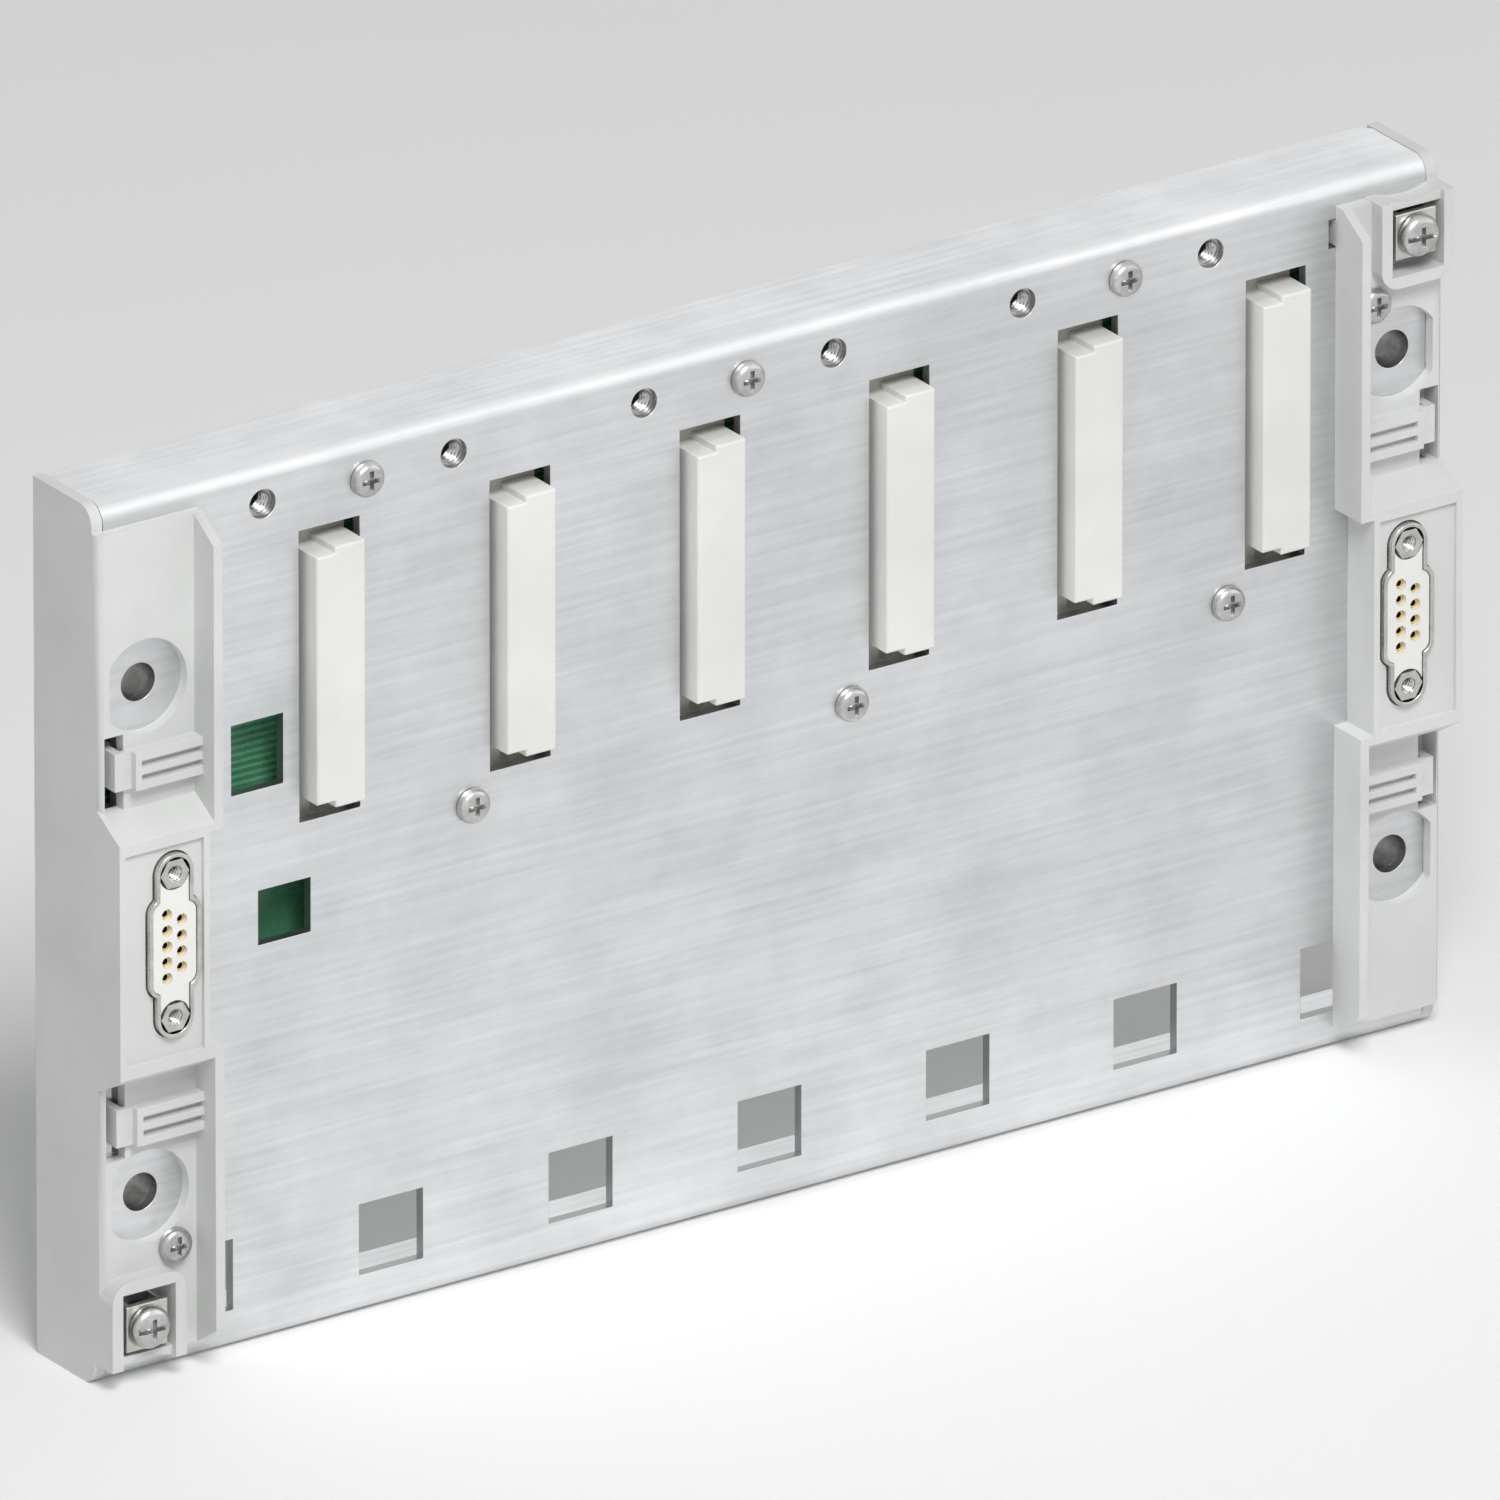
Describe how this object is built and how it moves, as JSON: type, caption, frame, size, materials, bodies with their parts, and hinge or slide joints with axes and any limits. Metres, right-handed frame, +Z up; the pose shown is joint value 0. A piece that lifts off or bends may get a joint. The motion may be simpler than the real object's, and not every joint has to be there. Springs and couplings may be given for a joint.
{
  "type": "plc rack",
  "caption": "Wall-fixed controller backplane rack: folded steel channel, moulded end caps with D-shaped ports and earth terminals, and a row of covered module sockets.",
  "frame": {"origin": "centre of the four fixing holes on the mounting plane", "axes": "+X along the rack to the right as seen from the front, +Y back into the panel, +Z up; the front faces -Y"},
  "size_m": [0.2616, 0.0248, 0.153],
  "materials": {
    "zinc_sheet": "zinc-plated folded steel sheet, fine cloudy grain",
    "cap_plastic": "light grey moulded plastic, fine spark texture",
    "socket_plastic": "glass-filled beige thermoplastic",
    "cover_plastic": "off-white moulded plastic, smooth",
    "board_laminate": "green solder-resist laminate, semi-matt",
    "nickel_plate": "nickel-plated steel pressing, satin",
    "port_plastic": "pale moulded insulator",
    "contact_gold": "gold-flashed brass sleeve",
    "zinc_screw": "bright zinc-plated steel",
    "terminal_nickel": "nickel-plated brass"
  },
  "bodies": {
    "root": {"chassis": "zinc_sheet", "backplane_board": "board_laminate", "slot_socket_1": "socket_plastic", "dust_cover_1": "cover_plastic", "slot_nut_1": "zinc_screw", "board_screw_1": "zinc_screw", "board_spacer_1": "terminal_nickel", "slot_socket_2": "socket_plastic", "dust_cover_2": "cover_plastic", "slot_nut_2": "zinc_screw", "board_screw_2": "zinc_screw", "board_spacer_2": "terminal_nickel", "slot_socket_3": "socket_plastic", "dust_cover_3": "cover_plastic", "slot_nut_3": "zinc_screw", "board_screw_3": "zinc_screw", "board_spacer_3": "terminal_nickel", "slot_socket_4": "socket_plastic", "dust_cover_4": "cover_plastic", "slot_nut_4": "zinc_screw", "board_screw_4": "zinc_screw", "board_spacer_4": "terminal_nickel", "slot_socket_5": "socket_plastic", "dust_cover_5": "cover_plastic", "slot_nut_5": "zinc_screw", "board_screw_5": "zinc_screw", "board_spacer_5": "terminal_nickel", "slot_socket_6": "socket_plastic", "dust_cover_6": "cover_plastic", "slot_nut_6": "zinc_screw", "board_screw_6": "zinc_screw", "board_spacer_6": "terminal_nickel", "fixing_spacer_1": "zinc_screw", "fixing_spacer_2": "zinc_screw", "fixing_spacer_3": "zinc_screw", "fixing_spacer_4": "zinc_screw", "left_end_cap": "cap_plastic", "left_cap_screw": "zinc_screw", "left_earth_clamp": "terminal_nickel", "left_earth_screw": "terminal_nickel", "left_earth_nut": "zinc_screw", "left_port_shell": "nickel_plate", "left_port_insulator": "port_plastic", "left_port_contacts": "contact_gold", "left_lower_jack": "nickel_plate", "left_upper_jack": "nickel_plate", "right_end_cap": "cap_plastic", "right_cap_screw": "zinc_screw", "right_earth_clamp": "terminal_nickel", "right_earth_screw": "terminal_nickel", "right_earth_nut": "zinc_screw", "right_port_shell": "nickel_plate", "right_port_insulator": "port_plastic", "right_port_contacts": "contact_gold", "right_lower_jack": "nickel_plate", "right_upper_jack": "nickel_plate"}
  },
  "joints": []
}
